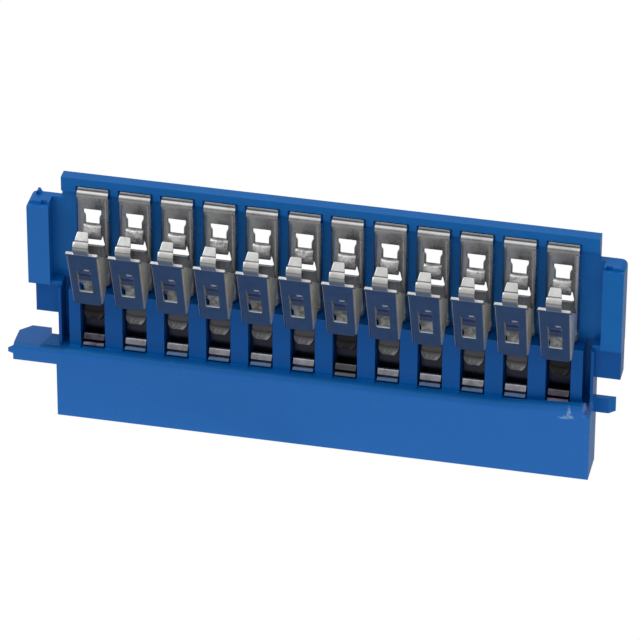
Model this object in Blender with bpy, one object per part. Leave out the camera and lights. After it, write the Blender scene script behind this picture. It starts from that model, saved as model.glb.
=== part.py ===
"""Twelve-way spring contact strip for a rail-mounted terminal block.

A glossy blue moulded carrier (socket base, ledge, comb, back wall and two end
wings) holds twelve stamped contacts. Each contact is a tall contact plate, a
sprung clamp jaw in front of it and a tail terminal that drops into the base.

Frame: metres, +Z up, X along the row, +Y to the back of the strip.
The origin is the middle of the flat underside of the socket base.
"""
import math

import bmesh
import bpy
from mathutils import Matrix, Vector

# ---------------------------------------------------------------- dimensions
MM = 0.001

POLES = 12
PITCH = 5.08

# lengths below are in mm; Y counts from the front face of the base
Y_ORIGIN = 2.25              # the frame's Y = 0, the middle of the base depth

BASE_HALF = 32.1             # half length of the socket base
BASE_DEPTH = 4.5
LEDGE_Z = 9.3                # top of the base, the glossy ledge
LEDGE_R = 0.9                # rounding of the ledge's front edge

WALL_LEFT = 31.8             # the wall's left end above the wing
WALL_FRONT = 3.6             # front of the recessed back wall
WALL_TOP = 31.55
BAND_FRONT = 3.05            # front of the thicker band along the top
BAND_Z = 29.7

COMB_FRONT = 1.55            # front of the ribs between the pockets
COMB_TOP = 17.0
POCKET_HALF = 1.48
POCKET_BACK = 3.9
POCKET_FLOOR = 9.1
END_SLOT = (30.8, 31.75)     # slot between the last rib and the end wall

WELL_HALF = 1.8              # socket wells, open at the underside
WELL_Y = (0.9, 3.75)
WELL_TOP = 7.6
SLOT_HALF = 1.05             # slot from the pocket down into the well
SLOT_Y = (3.08, 3.74)

WINDOW_HALF = 1.55           # openings in the wall behind each plate
WINDOW_Z = (20.2, 29.1)

WING_LEFT = (33.05, 35.7)    # end wings, boxes open at the back
WING_RIGHT = (32.75, 35.2)
WING_FRONT = 1.7
WING_STEP = (2.3, 28.02)     # lower step along the front of each wing's top
WING_LOW_FRONT = 2.2
WING_Z = (17.2, 28.4)
WING_LOW_Z = 13.15
WING_LOW_LEFT = 34.95
WING_WALL = 0.6
WING_R = 0.7

ARM_OUT = 37.4               # ledge arm past the left end
ARM_Z = 7.2
ARM_NOTCH = (33.75, 3.3)     # gap between the arm and the end wall
ARM_BEVEL = 1.3
TIP_OUT = 38.4
TIP_TOP = 7.8

LIP_X = (19.0, 31.6)         # the ledge's front lip rises towards the right end
LIP_RISE = 0.86
LIP_BACK = 1.1
TRIM = ((31.25, 0.0), (32.15, 2.7))  # plan line of the trimmed right corner
TRIM_Z = 9.06
TRIM_LEAN = 0.42

TAB_OUT = 34.45              # tab past the right end
TAB_Y = (3.75, 4.5)
TAB_Z = (7.2, 9.2)
TAB_BEVEL = 0.75

SHEET = 0.35                 # contact sheet
PLATE_HALF = 2.0
PLATE_Y = 2.70               # middle of the plate's sheet
PLATE_TOP = 30.45
RIM_Y = 3.2                  # the plate's top rim is set back into the band
SET_BACK_Z = (29.55, 30.12)  # lower and upper end of the set-back slope
RIM_RECESS = (2.1, 3.45, 30.57)   # recess in the band: half width, back, top
PLATE_LOW = 12.75            # tip of the spoon-shaped lower end
PLATE_NECK_HALF = 1.25
PLATE_NECK_Z = 17.25
FLANGE_Y = 3.4
FLANGE_Z = (17.6, 29.3)
TEE_WIDE = (1.07, 27.3, 27.9)    # T-shaped window: half width, bottom, top
TEE_NARROW = (0.84, 25.85, 26.95)
SLIT = (1.25, 22.85, 23.75)      # slit below the curl
SLIT_BULGE = (1.45, 23.15)
SLIT_SPIKE = (1.08, 1.2, 24.3)
CURL_HALF = 1.04

JAW_SHEET = 0.32
JAW_HALF_TOP = 1.92
JAW_HALF_LOW = 1.80
JAW_TOP = (-3.1, 25.1)       # front panel, top edge (Y, Z)
JAW_LOW = (-0.4, 16.5)       # front panel, bottom edge
JAW_BACK = 2.36
JAW_SIDE_Z = (19.0, 21.4)    # side wall at its back edge
JAW_HEEL = (0.2, 17.0)       # lower corner of the side wall
JAW_WINDOW = (0.84, 18.6, 22.35)
LANCE = (0.74, 20.35, 0.5)   # half width, lower end, how far it is pressed in
TONGUE_HALF = 0.88
TONGUE_TIP_HALF = 0.62
TONGUE_BEND = (-3.34, 26.35)
TONGUE_TIP = (-1.95, 27.5)
HINGE = (2.2, 19.1)          # axis of the jaw's flexing root (Y, Z)

TAIL_Y = 3.4
TAIL_TOP = 14.4
TAIL_UP_HALF = 1.3
TAIL_BLADE_HALF = 0.8
TAIL_LOW = 1.4
LUG_HALF = 1.26
LUG_PATH = ((3.4, 9.76), (2.95, 9.95), (2.42, 10.72), (2.0, 10.0))
FOOT_PATH = ((3.4, 9.62), (1.64, 9.55))


def pole_x(i):
    """X of pole i, counted from 0 at the left."""
    return (i - (POLES - 1) / 2.0) * PITCH


# --------------------------------------------------------------------- scene
for old in list(bpy.data.objects):
    bpy.data.objects.remove(old, do_unlink=True)

parts = bpy.data.collections.new("contact_strip")
tools = bpy.data.collections.new("contact_strip_cutters")
bpy.context.scene.collection.children.link(parts)
bpy.context.scene.collection.children.link(tools)


def material(name, color, rough, metal):
    mat = bpy.data.materials.new(name)
    mat.use_nodes = True
    bsdf = mat.node_tree.nodes["Principled BSDF"]
    bsdf.inputs["Base Color"].default_value = (*color, 1.0)
    bsdf.inputs["Roughness"].default_value = rough
    bsdf.inputs["Metallic"].default_value = metal
    mat.diffuse_color = (*color, 1.0)
    return mat


BLUE = material("blue_moulding", (0.018, 0.125, 0.42), 0.28, 0.0)
TINNED = material("tinned_sheet", (0.56, 0.55, 0.52), 0.28, 1.0)
SPRING = material("spring_steel", (0.60, 0.60, 0.60), 0.18, 1.0)
TAIL = material("tail_metal", (0.52, 0.51, 0.48), 0.32, 1.0)


# ------------------------------------------------------------------- helpers
def world(x, y, z):
    return Vector((x * MM, (y - Y_ORIGIN) * MM, z * MM))


def helper_object(name, mesh):
    """A shape that is joined or cut, kept out of the finished object."""
    ob = bpy.data.objects.new(name, mesh)
    tools.objects.link(ob)
    ob.hide_render = True
    ob.display_type = "WIRE"
    return ob


def box(name, x, y, z):
    bm = bmesh.new()
    bmesh.ops.create_cube(bm, size=1.0)
    lo, hi = world(x[0], y[0], z[0]), world(x[1], y[1], z[1])
    for v in bm.verts:
        v.co = Vector([lo[k] + (v.co[k] + 0.5) * (hi[k] - lo[k]) for k in range(3)])
    mesh = bpy.data.meshes.new(name)
    bm.to_mesh(mesh)
    bm.free()
    return helper_object(name, mesh)


# outline planes: columns are where the outline's own x, y and z point
PLANES = {
    "YZ": ((0, 1, 0), (0, 0, 1), (1, 0, 0)),
    "XZ": ((1, 0, 0), (0, 0, 1), (0, -1, 0)),
    "XY": ((1, 0, 0), (0, 1, 0), (0, 0, 1)),
}


def prism(name, plane, points, span):
    """A flat outline in the given plane, extruded over the span."""
    cu = bpy.data.curves.new(name, "CURVE")
    cu.dimensions = "2D"
    cu.fill_mode = "BOTH"
    cu.extrude = abs(span[1] - span[0]) * MM / 2.0
    sp = cu.splines.new("POLY")
    sp.points.add(len(points) - 1)
    for p, (a, b) in zip(sp.points, points):
        p.co = (a * MM, b * MM, 0.0, 1.0)
    sp.use_cyclic_u = True
    ob = bpy.data.objects.new(name, cu)
    tools.objects.link(ob)
    cols = [Vector(c) for c in PLANES[plane]]
    mid = (span[0] + span[1]) / 2.0
    rot = Matrix((cols[0], cols[1], cols[2])).transposed().to_4x4()
    shift = {"YZ": (mid, 0, 0), "XZ": (0, mid, 0), "XY": (0, 0, mid)}[plane]
    ob.matrix_world = Matrix.Translation(world(*shift)) @ rot
    bpy.context.view_layer.update()
    dg = bpy.context.evaluated_depsgraph_get()
    mesh = bpy.data.meshes.new_from_object(ob.evaluated_get(dg))
    mesh.transform(ob.matrix_world)
    bpy.data.objects.remove(ob, do_unlink=True)
    bm = bmesh.new()
    bm.from_mesh(mesh)
    bmesh.ops.remove_doubles(bm, verts=bm.verts, dist=1e-6)
    bmesh.ops.recalc_face_normals(bm, faces=bm.faces)
    bm.to_mesh(mesh)
    bm.free()
    return helper_object(name, mesh)


def rounded(points, radius, steps=4):
    """The path with its inner corners turned into arcs."""
    out = [Vector(points[0])]
    for a, b, c in zip(points, points[1:], points[2:]):
        a, b, c = Vector(a), Vector(b), Vector(c)
        u, w = (a - b).normalized(), (c - b).normalized()
        half = u.angle(w) / 2.0
        cut = min(radius / math.tan(half), 0.45 * (a - b).length, 0.45 * (c - b).length)
        r = cut * math.tan(half)
        centre = b + (u + w).normalized() * (r / math.sin(half))
        p, q = b + u * cut - centre, b + w * cut - centre
        turn = p.angle_signed(q)
        for k in range(steps + 1):
            t = -turn * k / steps
            out.append(centre + Vector((p.x * math.cos(t) - p.y * math.sin(t),
                                        p.x * math.sin(t) + p.y * math.cos(t))))
    out.append(Vector(points[-1]))
    return out


def strip(path, thick):
    """Closed outline of a sheet that follows the path."""
    left, right = [], []
    n = len(path)
    for k, p in enumerate(path):
        d0 = (path[k] - path[k - 1]).normalized() if k else (path[1] - path[0]).normalized()
        d1 = (path[k + 1] - path[k]).normalized() if k < n - 1 else d0
        n0, n1 = Vector((-d0.y, d0.x)), Vector((-d1.y, d1.x))
        m = (n0 + n1).normalized()
        w = thick / 2.0 / max(m.dot(n0), 0.3)
        left.append(p + m * w)
        right.append(p - m * w)
    return [(q.x, q.y) for q in left + right[::-1]]


def sheet(name, path, thick, half, radius=0.4, steps=4):
    return prism(name, "YZ", strip(rounded(path, radius, steps), thick), (-half, half))


def combine(base, operation, others):
    """Join the others to the base, or cut them from it, in one step."""
    group = bpy.data.collections.new(base.name + "_" + operation.lower())
    tools.children.link(group)
    for ob in others:
        group.objects.link(ob)
        tools.objects.unlink(ob)
    mod = base.modifiers.new(operation.title(), "BOOLEAN")
    mod.operation = operation
    mod.solver = "EXACT"
    mod.operand_type = "COLLECTION"
    mod.collection = group
    return base


def finish(base, name):
    """The evaluated shape as a plain mesh."""
    bpy.context.view_layer.update()
    dg = bpy.context.evaluated_depsgraph_get()
    mesh = bpy.data.meshes.new_from_object(base.evaluated_get(dg))
    mesh.name = name
    mesh.materials.clear()
    bm = bmesh.new()
    bm.from_mesh(mesh)
    bmesh.ops.remove_doubles(bm, verts=bm.verts, dist=2e-6)
    bmesh.ops.dissolve_degenerate(bm, edges=bm.edges, dist=2e-6)
    bmesh.ops.dissolve_limit(bm, angle_limit=math.radians(0.5),
                             verts=bm.verts, edges=bm.edges)
    bmesh.ops.triangulate(bm, faces=bm.faces)
    bm.to_mesh(mesh)
    bm.free()
    return mesh


def place(name, mesh, mat, at=(0.0, 0.0, 0.0), smooth=None, parent=None):
    """A finished piece; `at` is where its origin lies, in metres."""
    ob = bpy.data.objects.new(name, mesh)
    parts.objects.link(ob)
    ob.location = at
    if parent is not None:
        ob.parent = parent
    if not mesh.materials:
        mesh.materials.append(mat)
    if smooth is not None:
        mesh.shade_smooth()
        mesh.set_sharp_from_angle(angle=math.radians(smooth))
    return ob


rig = bpy.data.objects.new("strip_frame", None)
parts.objects.link(rig)


# ------------------------------------------------------------------- carrier
def carrier():
    arc = [(LEDGE_R - LEDGE_R * math.sin(t), LEDGE_Z - LEDGE_R + LEDGE_R * math.cos(t))
           for t in [math.pi / 2 * k / 5 for k in range(6)]]
    outline = [(0, 0), (BASE_DEPTH, 0), (BASE_DEPTH, WALL_TOP), (BAND_FRONT, WALL_TOP),
               (BAND_FRONT, BAND_Z), (WALL_FRONT, BAND_Z), (WALL_FRONT, COMB_TOP),
               (COMB_FRONT, COMB_TOP), (COMB_FRONT, LEDGE_Z)] + arc
    body = prism("carrier_body", "YZ", outline, (-BASE_HALF, BASE_HALF))

    # ledge arm past the left end, with its notch, bevel and thin tip
    arm_line = [(0, ARM_Z), (BASE_DEPTH, ARM_Z), (BASE_DEPTH, LEDGE_Z)] + arc
    arm = prism("arm", "YZ", arm_line, (-ARM_OUT, -BASE_HALF + 0.2))
    cut = [box("arm_notch", (-ARM_NOTCH[0], -BASE_HALF + 0.5), (ARM_NOTCH[1], 5.0),
               (ARM_Z - 0.5, LEDGE_Z + 0.5)),
           prism("arm_bevel", "XY", [(-ARM_OUT - 0.5, BASE_DEPTH - ARM_BEVEL - 0.5),
                                     (-ARM_OUT + ARM_BEVEL + 0.5, BASE_DEPTH + 0.5),
                                     (-ARM_OUT - 0.5, BASE_DEPTH + 0.5)],
                 (ARM_Z - 0.5, LEDGE_Z + 0.5))]
    arm = helper_object("arm_cut", finish(combine(arm, "DIFFERENCE", cut), "arm_cut"))
    tip = prism("arm_tip", "XY", [(-ARM_OUT + 0.3, 0.9), (-TIP_OUT, 1.45), (-ARM_OUT + 0.3, 3.1)],
                (ARM_Z + 0.02, TIP_TOP))
    tab = prism("right_tab", "XY", [(BASE_HALF - 0.3, TAB_Y[0]), (TAB_OUT - TAB_BEVEL, TAB_Y[0]),
                                    (TAB_OUT, TAB_Y[1] - 0.02), (BASE_HALF - 0.3, TAB_Y[1] - 0.02)],
                TAB_Z)
    extra = [arm, tip, tab]

    # front lip that climbs towards the right end
    lip = prism("lip", "YZ", [(0.03, LEDGE_Z - 1.6), (LIP_BACK, LEDGE_Z - 1.6), (LIP_BACK, LEDGE_Z - 0.08)] +
                [(0.03 + a, b - 0.08) for a, b in arc], LIP_X)
    for v in lip.data.vertices:
        if v.co.x > LIP_X[0] * MM + 0.001 and v.co.z > (LEDGE_Z - 1.3) * MM:
            v.co.z += (LIP_RISE + 0.08) * MM
    extra.append(lip)

    # end wings: a box ahead of the wall, a lower and shallower box under it
    for side, (w_in, w_out), low_out in ((-1, WING_LEFT, WING_LOW_LEFT), (1, WING_RIGHT, WING_RIGHT[1])):
        corner = [(w_out - WING_R + WING_R * math.sin(t), WING_Z[1] - WING_R + WING_R * math.cos(t))
                  for t in [math.pi / 2 * k / 4 for k in range(5)]]
        up = [(w_in, WING_Z[0]), (w_in, WING_Z[1])] + corner + [(w_out, WING_Z[0])]
        back = [(BASE_HALF - 0.4, WING_LOW_Z + 0.6), (BASE_HALF - 0.4, WING_Z[1])] + corner + \
               [(w_out, WING_Z[0] + 0.3), (low_out - 0.05, WING_Z[0] + 0.3), (low_out - 0.05, WING_LOW_Z + 0.6)]
        extra.append(prism("wing_up", "XZ", [(side * a, b) for a, b in up],
                           (WING_FRONT, WALL_FRONT + 0.4)))
        extra.append(prism("wing_back", "XZ", [(side * a, b) for a, b in back],
                           (WALL_FRONT, BASE_DEPTH - 0.02)))
        lo, hi = sorted((side * (BASE_HALF - 0.35), side * (low_out - 0.02)))
        extra.append(box("wing_low", (lo, hi), (WING_LOW_FRONT, BASE_DEPTH - 0.04),
                         (WING_LOW_Z, WING_Z[0] + 0.35)))
    # small pip left on the back corner of the left wing
    extra.append(prism("pip", "XZ", [(-35.15, WING_Z[1] - 0.5), (-34.85, WING_Z[1] + 0.55),
                                     (-34.6, WING_Z[1] + 0.5), (-34.1, WING_Z[1] - 0.5)],
                       (3.75, BASE_DEPTH - 0.1)))
    body = combine(body, "UNION", extra)
    body = helper_object("carrier_joined", finish(body, "carrier_joined"))

    cut = []
    for i in range(POLES):
        x = pole_x(i)
        cut.append(box("pocket", (x - POCKET_HALF, x + POCKET_HALF),
                       (COMB_FRONT - 0.5, POCKET_BACK), (POCKET_FLOOR, COMB_TOP + 0.5)))
        cut.append(box("well", (x - WELL_HALF, x + WELL_HALF), WELL_Y, (-0.5, WELL_TOP)))
        cut.append(box("tail_slot", (x - SLOT_HALF, x + SLOT_HALF), SLOT_Y,
                       (WELL_TOP - 0.5, POCKET_FLOOR + 0.5)))
        cut.append(box("window", (x - WINDOW_HALF, x + WINDOW_HALF),
                       (WALL_FRONT - 0.5, BASE_DEPTH + 0.5), WINDOW_Z))
        cut.append(box("rim_recess", (x - RIM_RECESS[0], x + RIM_RECESS[0]),
                       (BAND_FRONT - 0.5, RIM_RECESS[1]), (BAND_Z - 0.5, RIM_RECESS[2])))
    for side in (-1, 1):
        lo, hi = sorted((side * END_SLOT[0], side * END_SLOT[1]))
        cut.append(box("end_slot", (lo, hi), (COMB_FRONT - 0.5, POCKET_BACK),
                       (POCKET_FLOOR + 0.05, COMB_TOP + 0.5)))
        w_in, w_out = WING_LEFT if side < 0 else WING_RIGHT
        lo, hi = sorted((side * (w_in + WING_WALL), side * (w_out - WING_WALL - 0.65)))
        cut.append(box("wing_core", (lo, hi), (WING_LOW_FRONT + WING_WALL, BASE_DEPTH + 0.5),
                       (WING_LOW_Z + WING_WALL, WING_Z[1] - WING_WALL)))
        lo, hi = sorted((side * (w_in - 0.3), side * (w_out + 0.3)))
        cut.append(box("wing_step", (lo, hi), (WING_FRONT - 0.5, WING_STEP[0]),
                       (WING_STEP[1], WING_Z[1] + 0.3)))
        lo, hi = sorted((side * (w_in + 0.3), side * (w_in + 1.0)))
        cut.append(box("wing_mark", (lo, hi), (WING_STEP[0] - 0.2, WING_STEP[0] + 0.3),
                       (WING_STEP[1] - 0.12, WING_Z[1] + 0.2)))
    # the wall's left end steps in above the wing; the ledge's right corner is trimmed
    cut.append(box("wall_end", (-BASE_HALF - 0.5, -WALL_LEFT), (BAND_FRONT - 0.5, BASE_DEPTH + 0.5),
                   (WING_Z[1] + 0.02, WALL_TOP + 0.5)))
    (xa, ya), (xb, yb) = TRIM
    slope = (xb - xa) / (yb - ya)
    trim = prism("trim", "XY", [(xa - 0.6 * slope, ya - 0.6), (xa + 1.62 * slope, 1.62),
                                (xb + 1.0, 1.62), (xb + 1.0, ya - 0.6)], (TRIM_Z, LEDGE_Z + 1.6))
    for v in trim.data.vertices:
        if v.co.z > (LEDGE_Z + 1.0) * MM and v.co.x < (xb + 0.5) * MM:
            v.co.x -= TRIM_LEAN * MM
    cut.append(trim)
    mesh = finish(combine(body, "DIFFERENCE", cut), "contact_carrier")
    return place("contact_carrier", mesh, BLUE, smooth=30, parent=rig)


# ------------------------------------------------------------- contact plate
def contact_plate():
    path = [(RIM_Y, PLATE_TOP), (RIM_Y, SET_BACK_Z[1]), (PLATE_Y, SET_BACK_Z[0]),
            (PLATE_Y, PLATE_LOW + 0.85), (PLATE_Y - 0.6, PLATE_LOW + 0.1)]
    body = sheet("plate", path, SHEET, PLATE_HALF, radius=0.4)
    curl_path = [(PLATE_Y, 25.7), (PLATE_Y - 0.55, 25.55), (PLATE_Y - 0.85, 24.95),
                 (PLATE_Y - 0.55, 24.38), (PLATE_Y, 24.26)]
    add = [sheet("curl", curl_path, 0.28, CURL_HALF, radius=0.4, steps=3)]
    for side in (-1, 1):
        lo, hi = sorted((side * (PLATE_HALF - SHEET), side * (PLATE_HALF - 0.005)))
        add.append(box("flange", (lo, hi), (PLATE_Y, FLANGE_Y), FLANGE_Z))
    body = combine(body, "UNION", add)
    body = helper_object("plate_joined", finish(body, "plate_joined"))

    deep = (PLATE_Y - 0.4, PLATE_Y + 0.4)
    half = [(TEE_NARROW[0], TEE_NARROW[1]), (TEE_NARROW[0], TEE_NARROW[2]), TEE_WIDE[:2],
            (TEE_WIDE[0], TEE_WIDE[2])]
    tee = half + [(-x, z) for x, z in reversed(half)]
    half = [(SLIT[0], SLIT[1]), SLIT_BULGE, (SLIT_SPIKE[1], SLIT_SPIKE[2]),
            (SLIT_SPIKE[0], SLIT_SPIKE[2]), (SLIT_SPIKE[0] - 0.04, SLIT[2])]
    slit = half + [(-x, z) for x, z in reversed(half)]
    cut = [prism("tee", "XZ", tee, deep), prism("slit", "XZ", slit, (PLATE_Y - 0.5, PLATE_Y + 0.4))]
    # the neck that stands in the pocket, with a rounded lower end
    for side in (-1, 1):
        lo, hi = sorted((side * PLATE_NECK_HALF, side * (PLATE_HALF + 0.4)))
        cut.append(box("neck", (lo, hi), (PLATE_Y - 1.0, PLATE_Y + 0.4), (PLATE_LOW - 1.0, PLATE_NECK_Z)))
        arc = [(side * (PLATE_NECK_HALF + 0.2 - 1.1 * (1 - math.cos(t))),
                PLATE_LOW + 1.35 - 1.45 * math.sin(t))
               for t in [math.pi / 2 * k / 5 for k in range(6)]]
        cut.append(prism("tip_round", "XZ", arc + [(side * (PLATE_NECK_HALF + 0.2 - 1.1), PLATE_LOW - 0.6),
                                                   (side * (PLATE_NECK_HALF + 0.8), PLATE_LOW - 0.6),
                                                   (side * (PLATE_NECK_HALF + 0.8), PLATE_LOW + 1.35)],
                         (PLATE_Y - 1.0, PLATE_Y + 0.4)))
    return finish(combine(body, "DIFFERENCE", cut), "contact_plate")


# ----------------------------------------------------------------- clamp jaw
def clamp_jaw():
    top, low = Vector(JAW_TOP), Vector(JAW_LOW)
    run = (low - top).normalized()
    inward = Vector((-run.y, run.x))
    ear = top + inward * JAW_SHEET
    outer = [tuple(top), tuple(ear), (ear.x + 0.12, ear.y - 0.3), (JAW_BACK, JAW_SIDE_Z[1]),
             (JAW_BACK, JAW_SIDE_Z[0]), JAW_HEEL, tuple(low)]
    body = prism("jaw", "YZ", outer, (-JAW_HALF_TOP, JAW_HALF_TOP))
    a, b = top + inward * JAW_SHEET - run * 2.0, low + inward * JAW_SHEET + run * 2.0
    inner = [tuple(a), (JAW_BACK + 1.0, a.y + 1.0), (JAW_BACK + 1.0, b.y - 1.0), tuple(b)]
    half = JAW_HALF_TOP - JAW_SHEET
    cut = [prism("jaw_inside", "YZ", inner, (-half, half)),
           box("jaw_window", (-JAW_WINDOW[0], JAW_WINDOW[0]), (-5.0, 0.3), JAW_WINDOW[1:])]
    body = combine(body, "DIFFERENCE", cut)
    body = helper_object("jaw_open", finish(body, "jaw_open"))

    mid = inward * (JAW_SHEET / 2.0)

    def on_panel(z):
        return top + run * ((z - top.y) / run.y) + mid

    tongue = sheet("tongue", [tuple(on_panel(24.4)), TONGUE_BEND, TONGUE_TIP], JAW_SHEET - 0.01,
                   TONGUE_HALF, radius=0.42, steps=5)
    taper = []
    for side in (-1, 1):
        taper.append(prism("tongue_taper", "XY",
                           [(side * (TONGUE_HALF + 0.02), TONGUE_BEND[0] - 0.3),
                            (side * TONGUE_TIP_HALF, TONGUE_TIP[0] + 0.3),
                            (side * 1.6, TONGUE_TIP[0] + 0.3), (side * 1.6, TONGUE_BEND[0] - 0.3)],
                           (TONGUE_BEND[1] + 0.05, TONGUE_TIP[1] + 1.0)))
    tongue = helper_object("tongue_cut", finish(combine(tongue, "DIFFERENCE", taper), "tongue_cut"))
    root, end = on_panel(JAW_WINDOW[2] + 0.2), on_panel(LANCE[1]) + inward * LANCE[2]
    bend = on_panel(JAW_WINDOW[2] - 0.25)
    lance = sheet("lance", [tuple(root), tuple(bend), tuple(end)], 0.24, LANCE[0], radius=0.5, steps=3)
    mesh = finish(combine(body, "UNION", [tongue, lance]), "clamp_jaw")

    # the jaw narrows from the ears to its root
    z_hi, z_lo = JAW_TOP[1] * MM, JAW_LOW[1] * MM
    pivot = world(0, HINGE[0], HINGE[1])
    for v in mesh.vertices:
        t = min(max((v.co.z - z_lo) / (z_hi - z_lo), 0.0), 1.0)
        v.co.x *= (JAW_HALF_LOW + (JAW_HALF_TOP - JAW_HALF_LOW) * t) / JAW_HALF_TOP
    mesh.transform(Matrix.Translation(-pivot))
    return mesh, pivot


# ------------------------------------------------------------- tail terminal
def tail_terminal():
    path = [(TAIL_Y, TAIL_TOP), (TAIL_Y, 7.0), (2.35, 5.6), (2.35, TAIL_LOW + 0.7),
            (2.62, TAIL_LOW)]
    body = sheet("tail", path, SHEET - 0.03, TAIL_UP_HALF, radius=0.6)
    cut = []
    for side in (-1, 1):
        lo, hi = sorted((side * TAIL_BLADE_HALF, side * (TAIL_UP_HALF + 0.4)))
        cut.append(box("blade_side", (lo, hi), (1.6, TAIL_Y + 0.5), (TAIL_LOW - 0.6, POCKET_FLOOR + 0.35)))
    body = combine(body, "DIFFERENCE", cut)
    body = helper_object("tail_blade", finish(body, "tail_blade"))
    lug = sheet("lug", LUG_PATH, SHEET - 0.07, LUG_HALF, radius=0.25, steps=3)
    foot = sheet("foot", FOOT_PATH, SHEET - 0.07, LUG_HALF - 0.02)
    return finish(combine(body, "UNION", [lug, foot]), "tail_terminal")


carrier()
plate_mesh = contact_plate()
jaw_mesh, jaw_pivot = clamp_jaw()
tail_mesh = tail_terminal()
for i in range(POLES):
    x = pole_x(i) * MM
    tag = "%02d" % (i + 1)
    place("contact_plate_" + tag, plate_mesh, TINNED, (x, 0, 0), smooth=30, parent=rig)
    place("clamp_jaw_" + tag, jaw_mesh, SPRING, (x, jaw_pivot.y, jaw_pivot.z), smooth=30, parent=rig)
    place("tail_terminal_" + tag, tail_mesh, TAIL, (x, 0, 0), smooth=30, parent=rig)

bpy.context.view_layer.update()
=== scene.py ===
import math

import bmesh
import bpy
from mathutils import Matrix, Vector


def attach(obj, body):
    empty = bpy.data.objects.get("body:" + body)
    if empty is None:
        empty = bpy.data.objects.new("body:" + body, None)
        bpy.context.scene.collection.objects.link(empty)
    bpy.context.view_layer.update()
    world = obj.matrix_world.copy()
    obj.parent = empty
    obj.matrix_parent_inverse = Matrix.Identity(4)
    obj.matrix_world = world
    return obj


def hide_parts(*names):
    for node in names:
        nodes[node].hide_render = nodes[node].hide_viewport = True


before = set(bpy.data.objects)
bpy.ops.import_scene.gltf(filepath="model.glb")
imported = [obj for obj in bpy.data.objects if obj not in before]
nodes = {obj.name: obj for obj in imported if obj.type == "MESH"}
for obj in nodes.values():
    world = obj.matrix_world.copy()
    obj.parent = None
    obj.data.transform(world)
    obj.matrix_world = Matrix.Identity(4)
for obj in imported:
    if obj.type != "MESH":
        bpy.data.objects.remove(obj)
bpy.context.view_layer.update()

MM = 0.001
POLES = 12
PITCH = 5.08


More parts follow.
